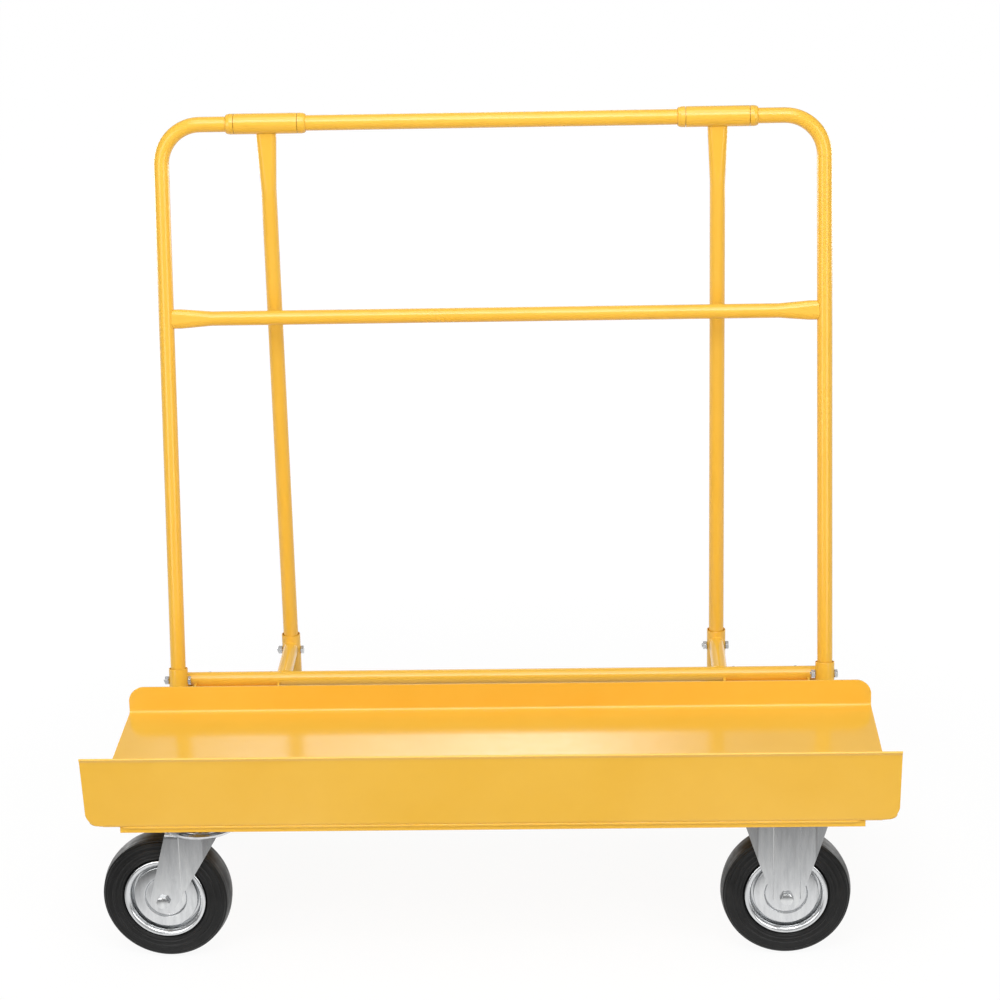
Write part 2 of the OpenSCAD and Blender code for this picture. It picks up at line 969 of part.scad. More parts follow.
module crown() {
  boss_r = race_r + ball_d * boss_share;
  hub = boss_r - fork_t;
  dish_t = fork_t / 2;
  dish_z = bridge_z - fork_t * dish_drop_share;
  dish_h = plate_under - caster_head_h - dish_gap - dish_z;
  outer = [for (share = dish_shares) [crown_r * share[0], dish_h * share[1]]];
  inner = [for (share = turned_round(dish_shares))
    [crown_r * share[0] - dish_t, dish_t + (dish_h - dish_t) * share[1]]];
  translate([0, 0, bridge_z - fork_t / 2])
    cylinder(r = boss_r, h = crown_z - bridge_z + fork_t / 2);
  translate([0, 0, dish_z])
    rotate_extrude()
      polygon(concat([[hub, 0]], outer, inner, [[hub, dish_t]]));
}

module swivel_fork(y, turn) {
  axle = [-trail, wheel_r];
  color(zinc)
    at_caster(-1, y, turn)
      difference() {
        union() {
          crown();
          bridge(swivel_face(fork_back, fork_front), bridge_z);
          both_sides()
            pressed_leg(swivel_face(trail + fork_end_r + over, fork_front + over), -fork_back, fork_front,
              bridge_z, axle);
        }
        ball_groove();
        translate([0, 0, bridge_z - fork_t - over])
          cylinder(d = kingpin_d + 2 * king_fit, h = crown_z - bridge_z + fork_t + 2 * over);
        axle_cut(-trail);
      }
}

module swivel_fork_front() {
  swivel_fork(front_caster_y, front_turn);
}

module swivel_fork_rear() {
  swivel_fork(rear_caster_y, rear_turn);
}

module race_balls(y, turn) {
  count = 24;
  color(steel)
    at_caster(-1, y, turn)
      for (i = [0 : count - 1])
        rotate([0, 0, i * 360 / count])
          translate([race_r, 0, ball_z])
            sphere(d = ball_d);
}

module race_balls_front() {
  race_balls(front_caster_y, front_turn);
}

module race_balls_rear() {
  race_balls(rear_caster_y, rear_turn);
}

// Axles, placed on a wheel's axis with the head to the front

module axle_bolt() {
  translate([0, -panel_out, wheel_r])
    rotate([-90, 0, 0])
      bolt(axle_hex, axle_head_h, axle_d, 2 * panel_out + axle_nut_h + bolt_end);
}

module axle_nut() {
  translate([0, panel_out, wheel_r])
    rotate([-90, 0, 0])
      nut(axle_hex, axle_d + 2 * thread_gap, axle_nut_h);
}

module axle_sleeve() {
  reach = panel_out - fork_t - weld_gap;
  translate([0, reach, wheel_r])
    rotate([90, 0, 0])
      pipe(axle_sleeve_d, axle_hole, 2 * reach);
}

module at_rigid_axles() {
  for (y = [front_caster_y, rear_caster_y])
    at_caster(1, y, 0)
      children();
}

module at_swivel_axle(y, turn) {
  at_caster(-1, y, turn)
    translate([-trail, 0, 0])
      children();
}

module rigid_axle_bolts() {
  color(zinc)
    at_rigid_axles()
      axle_bolt();
}

module rigid_axle_nuts() {
  color(zinc)
    at_rigid_axles()
      axle_nut();
}

module rigid_axle_sleeves() {
  color(steel)
    at_rigid_axles()
      axle_sleeve();
}

module swivel_axle_bolt_front() {
  color(zinc)
    at_swivel_axle(front_caster_y, front_turn)
      axle_bolt();
}

module swivel_axle_nut_front() {
  color(zinc)
    at_swivel_axle(front_caster_y, front_turn)
      axle_nut();
}

module swivel_axle_sleeve_front() {
  color(steel)
    at_swivel_axle(front_caster_y, front_turn)
      axle_sleeve();
}

module swivel_axle_bolt_rear() {
  color(zinc)
    at_swivel_axle(rear_caster_y, rear_turn)
      axle_bolt();
}

module swivel_axle_nut_rear() {
  color(zinc)
    at_swivel_axle(rear_caster_y, rear_turn)
      axle_nut();
}

module swivel_axle_sleeve_rear() {
  color(steel)
    at_swivel_axle(rear_caster_y, rear_turn)
      axle_sleeve();
}

// Wheels, made round Z and turned onto their axis

module on_axle() {
  translate([0, 0, wheel_r])
    rotate([90, 0, 0])
      children();
}

module tyre_section() {
  half = tyre_w / 2;
  seat = seat_r + weld_gap;
  intersection() {
    union() {
      translate([seat, -half])
        square([wheel_r - shoulder_r - seat, tyre_w]);
      translate([seat, shoulder_r - half])
        square([wheel_r - seat, tyre_w - 2 * shoulder_r]);
      for (side = [-1, 1])
        translate([wheel_r - shoulder_r, side * (half - shoulder_r)])
          circle(shoulder_r);
    }
    translate([wheel_r - tread_r, 0])
      circle(tread_r);
  }
}

module tyre() {
  half = tyre_w / 2;
  roll_r = seat_r * rim_radius_shares[0];
  roll_z = half * rim_depth_shares[0];
  color(rubber)
    on_axle()
      difference() {
        union() {
          rotate_extrude()
            tyre_section();
          for (share = ridge_shares, side = [-1, 1])
            translate([0, 0, side * half])
              rotate_extrude()
                translate([wheel_r * share, 0])
                  circle(wheel_r * ridge_size_share);
        }
        for (side = [-1, 1])
          translate([0, 0, side * roll_z])
            rotate_extrude()
              translate([roll_r, 0])
                circle(seat_r * roll_share + weld_gap);
      }
}

module rim_half() {
  half = tyre_w / 2;
  r = seat_r * rim_radius_shares;
  z = half * rim_depth_shares;
  translate([0, 0, z[0]])
    rotate_extrude()
      translate([r[0], 0])
        circle(seat_r * roll_share);
  translate([0, 0, rim_t / 2])
    pipe(2 * seat_r, 2 * (seat_r - rim_t), z[0] - rim_t / 2);
  rotate_extrude()
    polygon([[r[1], z[0]], [r[2], z[1]], [r[2], z[5]], [r[3], z[5]], [r[3], z[2]], [r[4], z[2]],
      [r[5], z[3]], [hub_bore_r, z[3]], [hub_bore_r, z[3] - rim_t], [r[5], z[3] - rim_t], [r[4], z[2] - rim_t],
      [r[3] - rim_t, z[2] - rim_t], [r[3] - rim_t, z[5] - rim_t], [r[2] + rim_t, z[5] - rim_t],
      [r[2] + rim_t, z[1] - rim_t], [seat_r - rim_t / 2, z[0] - rim_t]]);
}

module rim() {
  hub_l = tyre_w * rim_depth_shares[4];
  color(zinc)
    on_axle() {
      rim_half();
      mirror([0, 0, 1])
        rim_half();
      translate([0, 0, -hub_l / 2])
        pipe(2 * hub_r, 2 * hub_bore_r, hub_l);
    }
}

module rollers() {
  count = 8;
  roller_l = tyre_w * rim_depth_shares[0];
  color(steel)
    on_axle()
      for (i = [0 : count - 1])
        rotate([0, 0, i * 360 / count])
          translate([roller_ring_r, 0, -roller_l / 2])
            cylinder(d = roller_d, h = roller_l);
}

module rigid_rim_front() {
  at_caster(1, front_caster_y, 0)
    rim();
}

module rigid_tyre_front() {
  at_caster(1, front_caster_y, 0)
    tyre();
}

module rigid_rollers_front() {
  at_caster(1, front_caster_y, 0)
    rollers();
}

module rigid_rim_rear() {
  at_caster(1, rear_caster_y, 0)
    rim();
}

module rigid_tyre_rear() {
  at_caster(1, rear_caster_y, 0)
    tyre();
}

module rigid_rollers_rear() {
  at_caster(1, rear_caster_y, 0)
    rollers();
}

module swivel_rim_front() {
  at_swivel_axle(front_caster_y, front_turn)
    rim();
}

module swivel_tyre_front() {
  at_swivel_axle(front_caster_y, front_turn)
    tyre();
}

module swivel_rollers_front() {
  at_swivel_axle(front_caster_y, front_turn)
    rollers();
}

module swivel_rim_rear() {
  at_swivel_axle(rear_caster_y, rear_turn)
    rim();
}

module swivel_tyre_rear() {
  at_swivel_axle(rear_caster_y, rear_turn)
    tyre();
}

module swivel_rollers_rear() {
  at_swivel_axle(rear_caster_y, rear_turn)
    rollers();
}

deck_tray();
front_channel();
caster_channel_left();
caster_channel_right();
rear_rail();
front_socket_left();
front_socket_right();
outrigger_left();
outrigger_right();
rear_socket_left();
rear_socket_right();
upright_frame();
mid_bar();
rear_prop_left();
rear_prop_right();
prop_sleeve_left();
prop_sleeve_right();
stop_collars();
socket_bolts();
socket_nuts();
caster_bolts();
caster_washers();
caster_nuts();
rigid_plate_front();
rigid_plate_rear();
rigid_fork_front();
rigid_fork_rear();
rigid_axle_bolts();
rigid_axle_nuts();
rigid_axle_sleeves();
rigid_rim_front();
rigid_tyre_front();
rigid_rollers_front();
rigid_rim_rear();
rigid_tyre_rear();
rigid_rollers_rear();
swivel_plate_front();
kingpin_front();
king_nut_front();
swivel_fork_front();
race_balls_front();
swivel_axle_bolt_front();
swivel_axle_nut_front();
swivel_axle_sleeve_front();
swivel_rim_front();
swivel_tyre_front();
swivel_rollers_front();
swivel_plate_rear();
kingpin_rear();
king_nut_rear();
swivel_fork_rear();
race_balls_rear();
swivel_axle_bolt_rear();
swivel_axle_nut_rear();
swivel_axle_sleeve_rear();
swivel_rim_rear();
swivel_tyre_rear();
swivel_rollers_rear();
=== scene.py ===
import json
import math
import bmesh
import bpy
from mathutils import Matrix, Vector

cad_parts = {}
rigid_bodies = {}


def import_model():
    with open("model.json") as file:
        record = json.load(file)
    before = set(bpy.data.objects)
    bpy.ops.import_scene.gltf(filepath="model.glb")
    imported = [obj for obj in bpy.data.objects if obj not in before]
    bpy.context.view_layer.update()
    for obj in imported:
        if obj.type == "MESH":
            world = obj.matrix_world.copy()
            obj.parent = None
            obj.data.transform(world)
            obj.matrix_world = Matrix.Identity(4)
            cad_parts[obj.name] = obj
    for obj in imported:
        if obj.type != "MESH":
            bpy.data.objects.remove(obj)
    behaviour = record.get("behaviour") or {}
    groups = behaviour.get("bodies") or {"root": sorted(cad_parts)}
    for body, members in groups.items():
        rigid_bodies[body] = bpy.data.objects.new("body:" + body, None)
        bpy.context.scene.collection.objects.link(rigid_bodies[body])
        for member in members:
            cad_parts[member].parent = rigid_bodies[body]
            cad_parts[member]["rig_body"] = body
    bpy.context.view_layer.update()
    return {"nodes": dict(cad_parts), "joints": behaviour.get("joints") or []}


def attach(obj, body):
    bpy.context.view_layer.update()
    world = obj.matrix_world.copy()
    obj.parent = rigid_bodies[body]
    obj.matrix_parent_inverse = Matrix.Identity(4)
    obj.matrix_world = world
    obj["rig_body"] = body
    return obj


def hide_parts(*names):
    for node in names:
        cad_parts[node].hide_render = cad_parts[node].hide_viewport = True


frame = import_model()
joints = {joint["name"]: joint for joint in frame["joints"]}

# Metres in a millimetre
MM = 0.001
# Points closer than this, in metres, become one
MERGE = 1e-6
# Share of a side that the curve at one of its corners may take
REACH_LIMIT = 0.49
WHITE = (1, 1, 1, 1)


# Shader building blocks

def new_material(name):
    mat = bpy.data.materials.new(name)
    mat.use_nodes = True
    tree = mat.node_tree
    tree.nodes.clear()
    out = tree.nodes.new("ShaderNodeOutputMaterial")
    bsdf = tree.nodes.new("ShaderNodeBsdfPrincipled")
    tree.links.new(bsdf.outputs["BSDF"], out.inputs["Surface"])
    return mat, tree, bsdf


def noise(tree, scale, detail, roughness, stretch=(1, 1, 1)):
    coord = tree.nodes.new("ShaderNodeTexCoord")
    mapping = tree.nodes.new("ShaderNodeMapping")
    mapping.inputs["Scale"].default_value = stretch
    tex = tree.nodes.new("ShaderNodeTexNoise")
    tex.inputs["Scale"].default_value = scale
    tex.inputs["Detail"].default_value = detail
    tex.inputs["Roughness"].default_value = roughness
    tree.links.new(coord.outputs["Object"], mapping.inputs["Vector"])
    tree.links.new(mapping.outputs["Vector"], tex.inputs["Vector"])
    return tex.outputs["Fac"]


def remap(tree, value, low, high, at_low=0.3, at_high=0.7):
    """Low where the value is at_low, high where it is at_high, and a straight line between them."""
    node = tree.nodes.new("ShaderNodeMapRange")
    node.inputs["From Min"].default_value = at_low
    node.inputs["From Max"].default_value = at_high
    node.inputs["To Min"].default_value = low
    node.inputs["To Max"].default_value = high
    tree.links.new(value, node.inputs["Value"])
    return node.outputs["Result"]


def ramp(tree, value, stops):
    node = tree.nodes.new("ShaderNodeValToRGB")
    elements = node.color_ramp.elements
    while len(elements) < len(stops):
        elements.new(0.5)
    for element, (place, colour) in zip(elements, stops):
        element.position = place
        element.color = (*colour, 1)
    tree.links.new(value, node.inputs["Fac"])
    return node.outputs["Color"]


def bump(tree, height, strength, distance, rounding=0.0):
    """A fine relief; rounding is the radius, in metres, that softens the edges it lies on."""
    node = tree.nodes.new("ShaderNodeBump")
    node.inputs["Strength"].default_value = strength
    node.inputs["Distance"].default_value = distance
    tree.links.new(height, node.inputs["Height"])
    if rounding:
        edge = tree.nodes.new("ShaderNodeBevel")
        edge.samples = 6
        edge.inputs["Radius"].default_value = rounding
        tree.links.new(edge.outputs["Normal"], node.inputs["Normal"])
    return node.outputs["Normal"]


def combine(tree, operation, first, second=None):
    """A math node, each of whose values is an output to link or a plain number."""
    node = tree.nodes.new("ShaderNodeMath")
    node.operation = operation
    for socket, value in zip(node.inputs, (first, second)):
        if isinstance(value, bpy.types.NodeSocket):
            tree.links.new(value, socket)
        elif value is not None:
            socket.default_value = value
    return node.outputs[0]


def link_surface(tree, bsdf, colour, rough, normal):
    tree.links.new(colour, bsdf.inputs["Base Color"])
    tree.links.new(rough, bsdf.inputs["Roughness"])
    tree.links.new(normal, bsdf.inputs["Normal"])


# Materials

def paint_material():
    """Glossy yellow paint with a slight orange peel."""
    mat, tree, bsdf = new_material("yellow_paint")
    colour = ramp(tree, noise(tree, scale=9, detail=4, roughness=0.55), [
        (0.25, (0.872, 0.490, 0.050)),
        (0.5, (0.886, 0.506, 0.057)),
        (0.75, (0.900, 0.522, 0.064))])
    rough = remap(tree, noise(tree, scale=60, detail=4, roughness=0.6), low=0.13, high=0.20)
    peel = noise(tree, scale=420, detail=2, roughness=0.4)
    normal = bump(tree, peel, strength=0.05, distance=0.0003, rounding=0.0008)
    link_surface(tree, bsdf, colour, rough, normal)
    bsdf.inputs["IOR"].default_value = 1.5
    return mat


def zinc_material():
    """Zinc plate with upright streaks."""
    mat, tree, bsdf = new_material("zinc_plate")
    streak = noise(tree, scale=90, detail=5, roughness=0.65, stretch=(1, 1, 0.16))
    colour = ramp(tree, streak, [
        (0.3, (0.62, 0.63, 0.64)),
        (0.5, (0.71, 0.72, 0.73)),
        (0.7, (0.78, 0.79, 0.79))])
    wear = noise(tree, scale=240, detail=5, roughness=0.65, stretch=(1, 1, 0.3))
    rough = remap(tree, wear, low=0.16, high=0.27)
    grain = noise(tree, scale=1400, detail=3, roughness=0.5, stretch=(1, 1, 0.25))
    normal = bump(tree, grain, strength=0.05, distance=0.0002, rounding=0.0005)
    link_surface(tree, bsdf, colour, rough, normal)
    bsdf.inputs["Metallic"].default_value = 1.0
    return mat


def steel_material():
    """Bare ground steel."""
    mat, tree, bsdf = new_material("bright_steel")
    colour = ramp(tree, noise(tree, scale=120, detail=4, roughness=0.6), [
        (0.3, (0.50, 0.51, 0.53)),
        (0.7, (0.68, 0.69, 0.70))])
    rough = remap(tree, noise(tree, scale=300, detail=4, roughness=0.6), low=0.18, high=0.34)
    grain = noise(tree, scale=1500, detail=2, roughness=0.5)
    normal = bump(tree, grain, strength=0.05, distance=0.0002, rounding=0.0004)
    link_surface(tree, bsdf, colour, rough, normal)
    bsdf.inputs["Metallic"].default_value = 1.0
    return mat


def tyre_material():
    """Black rubber, hardly glossy."""
    mat, tree, bsdf = new_material("tyre")
    colour = ramp(tree, noise(tree, scale=40, detail=5, roughness=0.6), [
        (0.3, (0.006, 0.006, 0.006)),
        (0.55, (0.009, 0.009, 0.009)),
        (0.8, (0.015, 0.015, 0.014))])
    rough = remap(tree, noise(tree, scale=90, detail=4, roughness=0.6), low=0.34, high=0.50)
    grain = noise(tree, scale=1100, detail=3, roughness=0.6)
    link_surface(tree, bsdf, colour, rough, bump(tree, grain, strength=0.10, distance=0.0003))
    bsdf.inputs["Specular IOR Level"].default_value = 0.30
    return mat


MATERIALS = {
    "yellow_paint": paint_material(),
    "zinc_plate": zinc_material(),
    "bright_steel": steel_material(),
    "tyre": tyre_material(),
}


def slot_of(node):
    if "tyre" in node:
        return "tyre"
    if any(word in node for word in ("roller", "ball", "axle_sleeve", "kingpin")):
        return "bright_steel"
    if any(word in node for word in ("rim", "fork", "plate", "bolt", "nut", "washer")):
        return "zinc_plate"
    return "yellow_paint"


def dress_nodes():
    for name, obj in frame["nodes"].items():
        obj.data.materials.clear()
        obj.data.materials.append(MATERIALS[slot_of(name)])


# Mesh building blocks, in millimetres until a piece is made

class Shape:
    """Points and faces of one piece, gathered from several forms."""

    def __init__(self):
        self.points = []
        self.faces = []

    def add(self, form, place):
        points, faces = form
        first = len(self.points)
        self.points += [place @ (Vector(point) * MM) for point in points]
        self.faces += [tuple(first + corner for corner in face) for face in faces]
        return self


def piece(name, shape, node, sharp=38, instead=True):
    """Make a piece that rides with a node, in its material, and unless told otherwise stands in for it.

    Edges that turn by more than sharp degrees stay sharp.
    """
    mesh = bpy.data.meshes.new(name)
    mesh.from_pydata(shape.points, [], shape.faces)
    form = bmesh.new()
    form.from_mesh(mesh)
    bmesh.ops.remove_doubles(form, verts=form.verts, dist=MERGE)
    bmesh.ops.dissolve_degenerate(form, edges=form.edges, dist=MERGE)
    bmesh.ops.recalc_face_normals(form, faces=form.faces)
    form.to_mesh(mesh)
    form.free()
    mesh.shade_smooth()
    mesh.set_sharp_from_angle(angle=math.radians(sharp))
    mesh.materials.append(MATERIALS[slot_of(node)])
    obj = bpy.data.objects.new(name, mesh)
    bpy.context.scene.collection.objects.link(obj)
    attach(obj, frame["nodes"][node]["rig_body"])
    if instead:
        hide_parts(node)


def polar(radius, angle, height):
    return radius * math.cos(angle), radius * math.sin(angle), height


def ring_faces(rings, count):
    """Faces between closed rings of count points, and from the last ring to the first."""
    faces = []
    for i in range(rings):
        here, there = i * count, (i + 1) % rings * count
        for j in range(count):
            k = (j + 1) % count
            faces.append((here + j, there + j, there + k, here + k))
    return faces


def lathe(profile, steps):
    """A closed profile of (radius, height) points turned about Z."""
    points = []
    for i in range(steps):
        angle = 2 * math.pi * i / steps
        points += [polar(r, angle, z) for r, z in profile]
    return points, ring_faces(steps, len(profile))


def curve(start, corner, end, share):
    """A point on the curve that leaves start towards corner and arrives at end from it."""
    return start.lerp(corner, share).lerp(corner.lerp(end, share), share)


def softened(points, reach, steps=4):
    """A closed outline whose corners are curves that reach along both sides.

    A point's third value is that corner's own reach.
    """
    outline = []
    for i, point in enumerate(points):
        here = Vector(point[:2])
        own = point[2] if len(point) > 2 else reach
        before = Vector(points[i - 1][:2]) - here
        after = Vector(points[(i + 1) % len(points)][:2]) - here
        start = here + before.normalized() * min(own, before.length * REACH_LIMIT)
        end = here + after.normalized() * min(own, after.length * REACH_LIMIT)
        outline += [curve(start, here, end, k / steps) for k in range(steps + 1)]
    return outline


def smooth_step(value):
    share = min(max(value, 0.0), 1.0)
    return share * share * (3 - 2 * share)


# Fasteners

# Width across flats, height of head, diameter of rod, pitch of thread and bore of nut
M8 = {"flats": 13, "head": 5.5, "rod": 8, "pitch": 1.25, "bore": 8.2}
M12 = {"flats": 18, "head": 7.5, "rod": 12, "pitch": 1.75, "bore": 12.2}
SOCKET_THREAD = 12
CASTER_THREAD = 10
AXLE_THREAD = 14
WASHER_D = 17
WASHER_BORE = 9

# Radius where a hexagon's chamfer starts, as a share of its width across flats, and the chamfer's slope
CHAMFER_SHARE = 0.475
CHAMFER_SLOPE = math.tan(math.radians(30))

# Directions that a fastener points in, from its head to its thread
ALONG = {
    "-x": Matrix.Rotation(-math.pi / 2, 4, "Y"),
    "+y": Matrix.Rotation(-math.pi / 2, 4, "X"),
    "+z": Matrix(),
}


def hex_body(flats, height, bore=0.0):
    """A hexagon along +Z with a corner towards +X and both rims chamfered, round a bore of that radius."""
    steps = 48
    rim = flats * CHAMFER_SHARE
    points = []
    for i in range(steps):
        angle = 2 * math.pi * i / steps
        edge = flats / 2 / math.cos(angle % (math.pi / 3) - math.pi / 6)
        drop = (edge - rim) * CHAMFER_SLOPE
        section = [(bore, 0), (rim, 0), (edge, drop), (edge, height - drop), (rim, height), (bore, height)]
        points += [polar(r, angle, z) for r, z in section]
    return points, ring_faces(steps, len(section))


def threaded_rod(radius, length, thread, pitch):
    """A rod along +Z whose last stretch is a thread with a chamfered end."""
    steps = 20
    rows_per_turn = 6
    start = length - thread
    depth = pitch * 0.5
    chamfer = pitch
    rows = int(thread / pitch * rows_per_turn)
    heights = [0, start] + [start + thread * (i + 1) / rows for i in range(rows)]
    points = []
    for z in heights:
        for k in range(steps):
            turn = k / steps
            phase = (z / pitch - turn) % 1.0
            cut = depth * (1 - abs(2 * phase - 1)) * smooth_step((z - start) / pitch)
            points.append(polar(radius - max(cut, z - length + chamfer), 2 * math.pi * turn, z))
    faces = ring_faces(len(heights), steps)[:-steps]
    faces.append(tuple(range(steps))[::-1])
    faces.append(tuple(range((len(heights) - 1) * steps, len(heights) * steps)))
    return points, faces


def solids(node, place):
    """Lowest and highest corner of each separate solid of a CAD node, in the frame of place."""
    form = bmesh.new()
    form.from_mesh(frame["nodes"][node].data)
    bmesh.ops.remove_doubles(form, verts=form.verts, dist=MERGE)
    away = place.inverted()
    seen = set()
    boxes = []
    for seed in form.verts:
        if seed in seen:
            continue
        group = [seed]
        seen.add(seed)
        for vert in group:
            for edge in vert.link_edges:
                other = edge.other_vert(vert)
                if other not in seen:
                    seen.add(other)
                    group.append(other)
        spots = [away @ vert.co / MM for vert in group]
        boxes.append((Vector([min(spot[i] for spot in spots) for i in range(3)]),
                      Vector([max(spot[i] for spot in spots) for i in range(3)])))
    form.free()
    return boxes


def fastener_start(box, along):
    """Middle of the face that a fastener starts from, and its length."""
    low, high = box
    middle = (low + high) / 2
    axis = "xyz".index(along[1])
    middle[axis] = low[axis] if along[0] == "+" else high[axis]
    return middle, high[axis] - low[axis]


def bolts(node, along, size, thread, place=Matrix()):
    shape = Shape()
    for box in solids(node, place):
        start, length = fastener_start(box, along)
        at = place @ Matrix.Translation(start * MM) @ ALONG[along]
        rod = threaded_rod(size["rod"] / 2, length - size["head"], thread, size["pitch"])
        shape.add(hex_body(size["flats"], size["head"]), at)
        shape.add(rod, at @ Matrix.Translation((0, 0, size["head"] * MM)))
    piece(node + ".form", shape, node)


def nuts(node, along, size, place=Matrix()):
    shape = Shape()
    for box in solids(node, place):
        start, length = fastener_start(box, along)
        at = place @ Matrix.Translation(start * MM) @ ALONG[along]
        shape.add(hex_body(size["flats"], length, size["bore"] / 2), at)
    piece(node + ".form", shape, node)


def washers(node):
    inner, outer = WASHER_BORE / 2, WASHER_D / 2
    shape = Shape()
    for box in solids(node, Matrix()):
        start, height = fastener_start(box, "+z")
        ring = softened([(inner, 0), (outer, 0), (outer, height), (inner, height)], height * 0.3)
        shape.add(lathe(ring, steps=40), Matrix.Translation(start * MM))
    piece(node + ".form", shape, node)


def add_fasteners():
    bolts("socket_bolts", "-x", M8, SOCKET_THREAD)
    nuts("socket_nuts", "-x", M8)
    bolts("caster_bolts", "+z", M8, CASTER_THREAD)
    nuts("caster_nuts", "+z", M8)
    washers("caster_washers")


# Wheels

WHEEL_R = 100
TRAIL = 60
TYRE_HALF = 25
TREAD_R = 48

# A tyre's side: inner radius, step and number of its points, and its dips at the inner and outer end
SIDE_START = 66.4
SIDE_STEP = 0.45
SIDE_POINTS = 44
INNER_DIP = 1.6
OUTER_DIP = 0.3
SHOULDER_POINTS = 32

# Radius, height and width of each moulded ring on a tyre's sides
TYRE_RINGS = [
    (68.6, 1.1, 1.3), (73.4, 1.3, 1.4), (80.6, 1.5, 1.5),
    (89.4, 1.0, 1.0), (93.0, 1.1, 1.0), (96.4, 0.8, 0.8)]
# The rings stand only outside this radius and further than this from the wheel's middle plane
RINGS_R = 66
RINGS_Z = 11


def caster_frame(kind, end):
    """Frame of a caster: its upright axis on the floor, +X ahead of it and the wheel's axis along Y."""
    wheel_joint = joints[f"{end}_{kind}_wheel_spin"]
    pivot = joints[f"{end}_swivel_turn"] if kind == "swivel" else wheel_joint
    turn = math.atan2(-wheel_joint["axis"][0], wheel_joint["axis"][1])
    x, y, _ = pivot["pos_m"]
    return Matrix.Translation((x, y, 0)) @ Matrix.Rotation(turn, 4, "Z")


def wheel_frame(kind, end):
    """Frame of a wheel, with +Z along its axis towards the front of the cart."""
    back = TRAIL if kind == "swivel" else 0
    hub = Matrix.Translation((-back * MM, 0, WHEEL_R * MM))
    return caster_frame(kind, end) @ hub @ Matrix.Rotation(math.pi / 2, 4, "X")


def mirrored(half):
    """A half profile and its mirror image in the wheel's middle plane, as one closed outline."""
    return half + [(r, -z) for r, z in reversed(half)]


def ring_lift(radius):
    """Height of the moulded rings at a radius."""
    return sum(height * math.exp(-((radius - at) / width) ** 2) for at, height, width in TYRE_RINGS)


def tyre_profile():
    """Bead, ringed side, round shoulder and crowned tread, from the rim outwards."""
    side = [(60.2, 17.5), (62.0, 17.9), (64.9, 19.6), (65.8, 22.4)]
    for i in range(SIDE_POINTS):
        dip = INNER_DIP * (1 - smooth_step(i / 5)) + OUTER_DIP * smooth_step((i - 24) / 20)
        side.append((SIDE_START + i * SIDE_STEP, TYRE_HALF - dip))
    shoulder = [Vector((86.2, 24.7)), Vector((98.2, 24.2)), Vector((98.5, 12.0))]
    side += [tuple(curve(*shoulder, i / SHOULDER_POINTS)) for i in range(1, SHOULDER_POINTS + 1)]
    side += [(WHEEL_R - (TREAD_R - math.sqrt(TREAD_R ** 2 - z ** 2)), z) for z in (9, 6, 3.2, 1.2, 0.7)]
    side.append((WHEEL_R - 0.05, 0.3))
    raised = []
    for i, (r, z) in enumerate(side):
        before = Vector(side[max(i - 1, 0)])
        after = Vector(side[min(i + 1, len(side) - 1)])
        run = (after - before).normalized()
        lift = ring_lift(r) if z > RINGS_Z and r > RINGS_R else 0
        raised.append((r - run.y * lift, z + run.x * lift))
    return mirrored(raised)


def rim_profile():
    """Hub, stepped and slightly coned disc, deep slot and rolled edge, from the bore outwards."""
    half = softened([
        (12.8, 0, 0), (12.8, 27), (15.3, 27), (15.3, 16.6), (31.6, 15.1), (33.4, 18.4), (49.8, 17.0),
        (49.8, 5, 0.4), (53.2, 5, 0.4), (54.2, 18.5, 1.5), (56.4, 23.2, 2.6), (60.4, 25.2, 2.6),
        (63.8, 24.4, 2), (64.7, 21.5, 2.2), (61.5, 18.8, 0.6), (60.0, 17.0, 0.6), (60.0, 0, 0)], 0.9)
    return mirrored([(r, z) for r, z in half if z > 0.01])


def wheel(kind, end):
    at = wheel_frame(kind, end)
    for word, profile, steps in (("tyre", tyre_profile(), 120), ("rim", rim_profile(), 112)):
        node = f"{kind}_{word}_{end}"
        piece(node + ".form", Shape().add(lathe(profile, steps), at), node, sharp=45)


# Forks

FORK_T = 3
FORK_BEND_R = 9
FORK_END_R = 20.5
LEG_OUT = 32
RIGID_TOP = 230
RIGID_HALF = 68
SWIVEL_TOP = 217
SWIVEL_BACK = -51
SWIVEL_FRONT = 33

# Height of a raised panel and width of its crease, slope of a wing and half the width of its crease
PANEL_RISE = 2
PANEL_CREASE_W = 2.2
WING_SLOPE = math.tan(math.radians(30))
WING_SOFT = 2.5

# Where along X the middles of the creases lie
RIGID_PANEL = 20.7
RIGID_WING = 44
SWIVEL_PANEL = -31.3
SWIVEL_WING = 3.6

# Rows of a strip on the round end, the straight leg, the bend and half the bridge, and columns across it
END_ROWS = 12
LEG_ROWS = 34
BEND_ROWS = 8
BRIDGE_ROWS = 3
COLUMNS = 32
# Further columns on each side of a crease, and the step between them
CREASE_COLUMNS = 6
CREASE_STEP = 0.4

# Radius and height round a swivel fork's crown: its underside, dish and curled rim, and the raised middle
CROWN = softened([
    (6.3, 215.5), (43, 215.5), (43.5, 214.3), (49, 214.4, 4), (56.6, 216.2, 4), (60, 222.6, 0.7),
    (58.6, 222.6, 0.7), (55.0, 217.8, 3), (47, 216.4), (46, 222.7), (6.3, 222.7)], 0.8)


def touch(axle, corner, side):
    """Where a straight edge from corner meets the round end about axle."""
    reach = Vector(corner) - Vector(axle)
    angle = math.atan2(reach.y, reach.x) + side * math.acos(FORK_END_R / reach.length)
    return axle[0] + FORK_END_R * math.cos(angle), axle[1] + FORK_END_R * math.sin(angle)


def edge_at(z, axle, corner, side):
    """Where along X a leg's edge lies at a height; side is 1 on its back edge and -1 on its front edge."""
    x0, z0 = touch(axle, corner, side)
    if z >= z0:
        return x0 + (corner[0] - x0) * (z - z0) / (corner[1] - z0)
    return axle[0] - side * math.sqrt(max(FORK_END_R ** 2 - (z - axle[1]) ** 2, 0))


